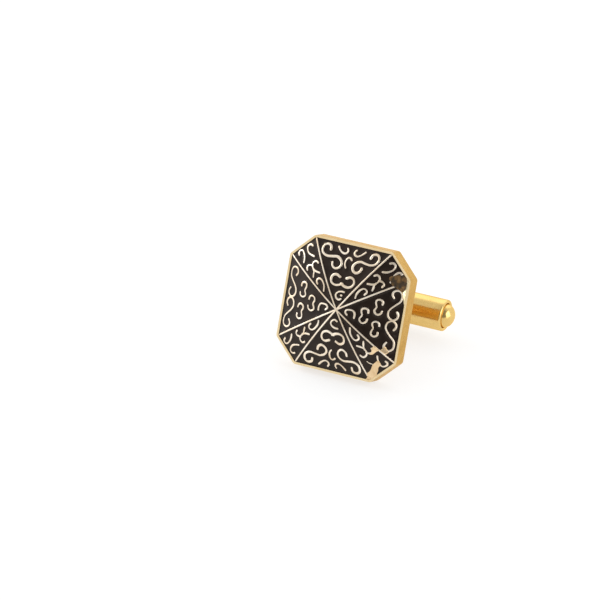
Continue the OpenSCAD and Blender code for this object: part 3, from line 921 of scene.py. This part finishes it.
# %% [markdown]
# ## Yoke
# The yoke is one strip bent round to a U. A strip is drawn out of a flat blank, so the mesh is too: a
# small face at one tip is extruded along the arm, spun half a turn round the bend, and extruded down
# the other arm. Its width grows over the first steps, which rounds the tip.

# %% The blank, crowned on its outer side
TIP_ROUND = 0.8
CROWN = 0.1
BLANK_CUTS = 7
tip_middle = (0, (ARM_IN + ARM_OUT) / 2, TIP_Z)
yoke = add_primitive(bpy.ops.mesh.primitive_plane_add, size=1, location=tip_middle)
yoke.scale = (STRIP_WIDTH, STRIP_THICK, 1)
bpy.ops.object.transform_apply()
bpy.ops.object.mode_set(mode="EDIT")
bpy.ops.mesh.select_all(action="SELECT")
bpy.ops.mesh.subdivide(number_cuts=BLANK_CUTS)
blank = bmesh.from_edit_mesh(yoke.data)
for vert in blank.verts:
    depth = (vert.co.y - ARM_IN) / STRIP_THICK
    vert.co.y -= CROWN * depth * (vert.co.x / (STRIP_WIDTH / 2)) ** 2
bmesh.update_edit_mesh(yoke.data)
print("blank vertices:", len(blank.verts))

# %% Draw it along the arm, round the bend and down again
ARM_STEPS = 12
BEND_STEPS = 28
TIP_TURNS = np.linspace(0, math.pi / 2, 8)


def draw_tip(rows):
    """Extrudes the strip through rows of (height, width)."""
    for (z, width), (next_z, next_width) in zip(rows, rows[1:]):
        extrude((0, 0, next_z - z), (next_width / width, 1, 1))


tip_heights = TIP_ROUND * (1 - np.cos(TIP_TURNS))
tip_rows = list(zip(tip_heights, STRIP_WIDTH - 2 * TIP_ROUND * (1 - np.sin(TIP_TURNS))))
arm_step = (BEND_Z - TIP_Z - TIP_ROUND) / ARM_STEPS
bpy.ops.mesh.select_all(action="SELECT")
bpy.ops.transform.resize(value=(tip_rows[0][1] / STRIP_WIDTH, 1, 1))
draw_tip(tip_rows)
for _ in range(ARM_STEPS):
    extrude((0, 0, arm_step))
bpy.ops.mesh.spin(steps=BEND_STEPS, angle=-math.pi, center=(0, 0, BEND_Z), axis=(1, 0, 0))
for _ in range(ARM_STEPS):
    extrude((0, 0, -arm_step))
draw_tip(tip_rows[::-1])
bpy.ops.object.mode_set(mode="OBJECT")
print("yoke box:", [[round(v, 2) for v in yoke.bound_box[corner]] for corner in (0, 6)])

# %% Remove the faces left inside, bevel the edges and add the bosses that seat in the bar
BOSS_RADIUS = 1.15
BOSS_THICK = 0.5
BOSS_SINK = 0.15


def pin_cylinder(radius, depth, y, vertices=32, towards=1):
    """Adds a cylinder whose axis is the pin's, at a place along it."""
    return add_primitive(
        bpy.ops.mesh.primitive_cylinder_add, vertices=vertices, radius=radius, depth=depth,
        location=(0, y, PIVOT_Z), rotation=(towards * math.pi / 2, 0, 0),
    )


def join(pieces):
    """Joins pieces into the first one, and returns it."""
    pick(pieces[0])
    for piece in pieces[1:]:
        piece.select_set(True)
    bpy.ops.object.join()
    return pieces[0]


bpy.ops.object.mode_set(mode="EDIT")
bpy.ops.mesh.select_all(action="SELECT")
bpy.ops.mesh.remove_doubles(threshold=MERGE)
bpy.ops.mesh.select_all(action="DESELECT")
bpy.ops.mesh.select_interior_faces()
bpy.ops.mesh.delete(type="FACE")
bpy.ops.object.mode_set(mode="OBJECT")
soften(yoke, width=0.17, segments=3, angle=50, profile=0.6)
bosses = [pin_cylinder(BOSS_RADIUS, BOSS_THICK, side * (ARM_IN - BOSS_SINK), vertices=48) for side in (1, -1)]
for boss in bosses:
    soften(boss, width=0.1, segments=3, angle=50)
yoke = join([yoke] + bosses)
finish_piece(yoke, "yoke_strip", "head", strip_gold, ["yoke"], angle=40, outwards=False)

# %% [markdown]
# ## Pivot pin
# The pin's ends are peened over by hammer, so the heads are low, a little square and not quite even.
# A cylinder is beaten into that shape by moving its rim in and out.

# %% Peen the heads
PIN_RADIUS = 0.6
HEAD_RADIUS = 0.85
HEAD_THICK = 0.2
HEAD_OUT = 0.07
SQUARE, LOPSIDED, TWIST = 0.09, 0.02, 0.35
EDGE_FROM, EDGE_DROP = 0.72, 0.05
HEAD_INSETS = (0.16, 0.22)
pin_parts = [pin_cylinder(PIN_RADIUS, 2 * ARM_OUT, 0)]
for side in (1, -1):
    peened = pin_cylinder(HEAD_RADIUS, HEAD_THICK, side * (ARM_OUT + HEAD_OUT), towards=-side)
    bpy.ops.object.mode_set(mode="EDIT")
    choose(peened, "FACE", lambda face: face.normal.z > FLAT)
    for inset in HEAD_INSETS:
        bpy.ops.mesh.inset(thickness=inset)
    beaten = bmesh.from_edit_mesh(peened.data)
    for vert in beaten.verts:
        angle = math.atan2(vert.co.y, vert.co.x) + TWIST * side
        reach = (1 - SQUARE * (1 - abs(math.cos(2 * angle)) ** 0.7)) * (1 + LOPSIDED * math.sin(5 * angle))
        vert.co.x *= reach
        vert.co.y *= reach
        if vert.co.z > 0 and math.hypot(vert.co.x, vert.co.y) > EDGE_FROM:
            vert.co.z -= EDGE_DROP
    bmesh.update_edit_mesh(peened.data)
    bpy.ops.object.mode_set(mode="OBJECT")
    soften(peened, width=0.04, segments=2, angle=25)
    pin_parts.append(peened)
pin = join(pin_parts)
finish_piece(pin, "peened_pin", "head", bright_gold, ["pivot_pin"], angle=30, outwards=False)

# %% [markdown]
# ## Solder
# Solder runs into the corner between the strip and the floor, and freezes in lumps. Round blobs are
# joined, remeshed into one skin and smoothed, and a cloudy displacement makes them uneven.

# %% Pool the blobs round the foot, each given by its place and radius
blobs = [
    (1.35, 0.1, 0.55, 0.75), (1.4, 1.0, 0.45, 0.62), (1.35, -0.9, 0.45, 0.68), (-1.4, 0.15, 0.55, 0.72),
    (-1.35, -0.85, 0.45, 0.66), (-1.4, 0.95, 0.4, 0.6), (1.95, 0.3, 0.5, 0.55), (-1.98, 0.1, 0.5, 0.55),
    (-1.75, -1.3, 0.45, 0.52), (0.0, 1.5, 0.4, 0.7), (0.0, -1.5, 0.4, 0.7), (0.75, 1.4, 0.35, 0.6),
    (-0.75, -1.4, 0.35, 0.6), (1.75, -0.45, 0.5, 0.5),
]
solder = join([
    add_primitive(bpy.ops.mesh.primitive_ico_sphere_add, subdivisions=3, radius=radius, location=(x, y, z))
    for x, y, z, radius in blobs
])
apply_modifier(solder, "REMESH", mode="VOXEL", voxel_size=0.06)
apply_modifier(solder, "SMOOTH", factor=0.6, iterations=4)
lumps = bpy.data.textures.new("solder_lumps", "CLOUDS")
lumps.noise_scale = 0.5
apply_modifier(solder, "DISPLACE", texture=lumps, strength=0.16, mid_level=0.5, texture_coords="LOCAL")
finish_piece(solder, "solder_fillet", "head", solder_gold, ["solder_pool"], angle=80)

# %% [markdown]
# ## Toggle bar
# The bar is a drawn tube whose mouths are rounded, with room for the end balls. A round part is a row
# of rings, so one circle is extruded from ring to ring, with each ring resized. The dimples that take
# the strip's bosses are pressed in afterwards by moving the vertices round the pin.

# %% Walk a circle along a row of rings
def walk_rings(stations, segments):
    """Starts with a circle round the x axis and extrudes it through (x, radius) stations."""
    x, radius = stations[0]
    obj = add_primitive(
        bpy.ops.mesh.primitive_circle_add, vertices=segments, radius=radius, fill_type="NOTHING",
        location=(x, 0, 0), rotation=(0, math.pi / 2, 0),
    )
    bpy.ops.object.transform_apply()
    bpy.ops.object.mode_set(mode="EDIT")
    bpy.ops.mesh.select_mode(type="VERT")
    bpy.ops.mesh.select_all(action="SELECT")
    for next_x, next_radius in stations[1:]:
        extrude((next_x - x, 0, 0))
        if next_radius == 0:
            bpy.ops.mesh.merge(type="CENTER")
        elif abs(next_radius - radius) > 1e-6:
            bpy.ops.transform.resize(value=(1, next_radius / radius, next_radius / radius))
        x, radius = next_x, next_radius
    bpy.ops.object.mode_set(mode="OBJECT")
    return obj


BORE = BAR_RADIUS - 0.5
BORE_START, MOUTH_X = 6.3, 8.3
DIMPLE_REACH = 2.6
lip_x, lip_r = BAR_HALF - LIP, BAR_RADIUS - LIP
lip_turns = np.linspace(-2.3, math.pi / 2, 18)
lip_turn = [(lip_x + LIP * math.cos(a), lip_r + LIP * math.sin(a)) for a in lip_turns]
straight_x = np.concatenate([np.linspace(MOUTH_X, DIMPLE_REACH, 12), np.linspace(2.5, 0.05, 50)])
half_row = [(BORE_START, BORE), (MOUTH_X, BORE)] + lip_turn + [(x, BAR_RADIUS) for x in straight_x]
stations = half_row + [(-x, r) for x, r in reversed(half_row)]
tube = walk_rings(stations, segments=160)
print("tube rings:", len(stations))

# %% Press the dimples
DIMPLE_Y = 1.65
DIMPLE_FLAT = 1.72
DIMPLE_WALL = 0.3
points = read_points(tube)
far = np.hypot(points[:, 0], points[:, 2])
soft = np.clip((far - DIMPLE_FLAT) / DIMPLE_WALL, 0, 1)
soft = soft * soft * (3 - 2 * soft)
aside = np.abs(points[:, 1])
pressed = np.sign(points[:, 1]) * (DIMPLE_Y + (aside - DIMPLE_Y) * soft)
outer_wall = (aside > DIMPLE_Y) & (np.abs(points[:, 0]) < DIMPLE_REACH)
points[outer_wall, 1] = pressed[outer_wall]
points[:, 2] += PIVOT_Z
write_points(tube, points)
finish_piece(tube, "toggle_bar_tube", "bar", bright_gold, ["toggle_tube"], angle=40)

# %% [markdown]
# ## End balls
# A domed plug closes each mouth. It stands inside the rounded lip with a thin dark groove round it, so
# the ball is a little smaller than the mouth and its plug reaches down into the bore.

# %% Turn the two plugs
BALL_RADIUS = 1.56
BALL_OUT = 1.1
BALL_FOOT = 8.85
END_RING, END_RING_X = 1.3, 7
ball_turn = [
    (BALL_FOOT + (BAR_HALF + BALL_OUT - BALL_FOOT) * math.sin(a), BALL_RADIUS * math.cos(a))
    for a in np.linspace(0.0, math.pi / 2 - 0.05, 30)
]
plug_row = [(6.78, 1.2), (6.7, 1.5), (6.76, 1.57), (8.46, 1.57), (8.5, 1.56)] + ball_turn
plug_row.append((BAR_HALF + BALL_OUT, 0))
for side, name in ((-1, "left"), (1, "right")):
    ball = walk_rings(plug_row, segments=96)
    bpy.ops.object.mode_set(mode="EDIT")
    choose(ball, "VERT", lambda vert: math.hypot(vert.co.y, vert.co.z) < END_RING and vert.co.x < END_RING_X)
    bpy.ops.mesh.edge_face_add()
    bpy.ops.object.mode_set(mode="OBJECT")
    ball.data.transform(Matrix.Translation((0, 0, PIVOT_Z)) @ Matrix.Scale(side, 4, (1, 0, 0)))
    node = f"end_ball_{name}"
    finish_piece(ball, node + "_domed", "bar", bright_gold, [node], angle=40)

# %% [markdown]
# ## Floor, light and camera
# The photograph is a bright catalogue picture on white. The floor keeps a soft shadow and its own
# light makes it white. Metal shows what is round it, so the world is bright at the left and behind the
# object, dimmer elsewhere, and white in a ring at the horizon. Three soft lamps give the long
# highlights.

# %% The floor
FLOOR_TONE = 0.32
FLOOR_GLOW = 0.69
floor = add_primitive(bpy.ops.mesh.primitive_plane_add, size=1.6, location=(0, 0, -0.00002))
floor.name = "floor"
paper, tree, shader = new_material("white_paper_floor")
floor_colour = (FLOOR_TONE, FLOOR_TONE, FLOOR_TONE, 1)
set_inputs(tree, shader, Base_Color=floor_colour, Roughness=0.9, Specular_IOR_Level=0.1)
glow = add_node(tree, "ShaderNodeEmission", Color=(1.0, 1.0, 1.0, 1.0), Strength=FLOOR_GLOW)
lit = tree.nodes.new("ShaderNodeAddShader")
feed(tree, lit.inputs[0], shader.outputs[0])
feed(tree, lit.inputs[1], glow.outputs[0])
rays = tree.nodes.new("ShaderNodeLightPath")
seen = math_node(tree, "ADD", rays.outputs["Is Camera Ray"], rays.outputs["Is Glossy Ray"], clamp=True)
seen = math_node(tree, "ADD", seen, rays.outputs["Is Transmission Ray"], clamp=True)
chosen = tree.nodes.new("ShaderNodeMixShader")
for socket, output in zip(chosen.inputs, (seen, shader.outputs[0], lit.outputs[0])):
    feed(tree, socket, output)
feed(tree, tree.nodes["Material Output"].inputs["Surface"], chosen.outputs[0])
floor.data.materials.append(paper)
print("floor ready")

# %% The world: bright at the left and behind, with a white ring at the horizon
world = bpy.data.worlds.new("studio")
bpy.context.scene.world = world
world.use_nodes = True
tree = world.node_tree
backdrop = tree.nodes["Background"]
direction = add_node(tree, "ShaderNodeTexCoord").outputs["Generated"]
x, y, z = add_node(tree, "ShaderNodeSeparateXYZ", Vector=direction).outputs
left = remap(tree, x, -0.85, 0.1, 1.4, 0.28)
back = remap(tree, y, -0.3, 0.4, 0.3, 1.05)
ring = remap(tree, math_node(tree, "ABSOLUTE", z, 0.0), 0.06, 0.11, 1.0, 0.0)
level = math_node(tree, "MAXIMUM", math_node(tree, "MAXIMUM", left, back), ring)
set_inputs(tree, backdrop, Color=(1.0, 1.0, 1.0, 1), Strength=level)
print("world ready")


# %% Three soft lamps
LAMP_TARGET = Vector((0, 0, 0.008))


def soft_lamp(name, place, size, power):
    """A square lamp that faces the object. Places are in metres."""
    lamp = bpy.data.lights.new(name, "AREA")
    lamp.size = size
    lamp.energy = power
    obj = bpy.data.objects.new(name, lamp)
    bpy.context.scene.collection.objects.link(obj)
    obj.location = place
    obj.rotation_euler = (LAMP_TARGET - Vector(place)).to_track_quat("-Z", "Y").to_euler()


soft_lamp("key_lamp", (-0.27, 0.02, 0.15), size=0.2, power=0.3)
soft_lamp("side_lamp", (0.28, -0.045, 0.12), size=0.23, power=0.42)
soft_lamp("back_lamp", (-0.02, 0.26, 0.2), size=0.3, power=0.15)
print("lamps ready")

# %% The camera, where the photograph was taken from, in the head's axes and millimetres
CAMERA_EYE = (172.693, 69.458, 420.207)
CAMERA_RIGHT = (0.89686, 0.16761, -0.40932)
CAMERA_UP = (-0.21422, 0.97425, -0.07045)
camera_data = bpy.data.cameras.new("camera")
camera_data.sensor_width = 36
camera_data.lens = 216
camera_data.clip_start = 0.01
camera_data.clip_end = 10
camera = bpy.data.objects.new("camera", camera_data)
bpy.context.scene.collection.objects.link(camera)
right, up = Vector(CAMERA_RIGHT), Vector(CAMERA_UP)
turn = Matrix((right, up, right.cross(up))).transposed().to_4x4()
placed = Matrix.Rotation(math.pi / 2 - LEAN, 4, "X") @ turn
camera.rotation_euler = placed.to_euler()
camera.location = TO_TABLE @ Vector(CAMERA_EYE)
bpy.context.scene.camera = camera
bpy.context.scene.view_settings.view_transform = "Standard"
print("camera ready")
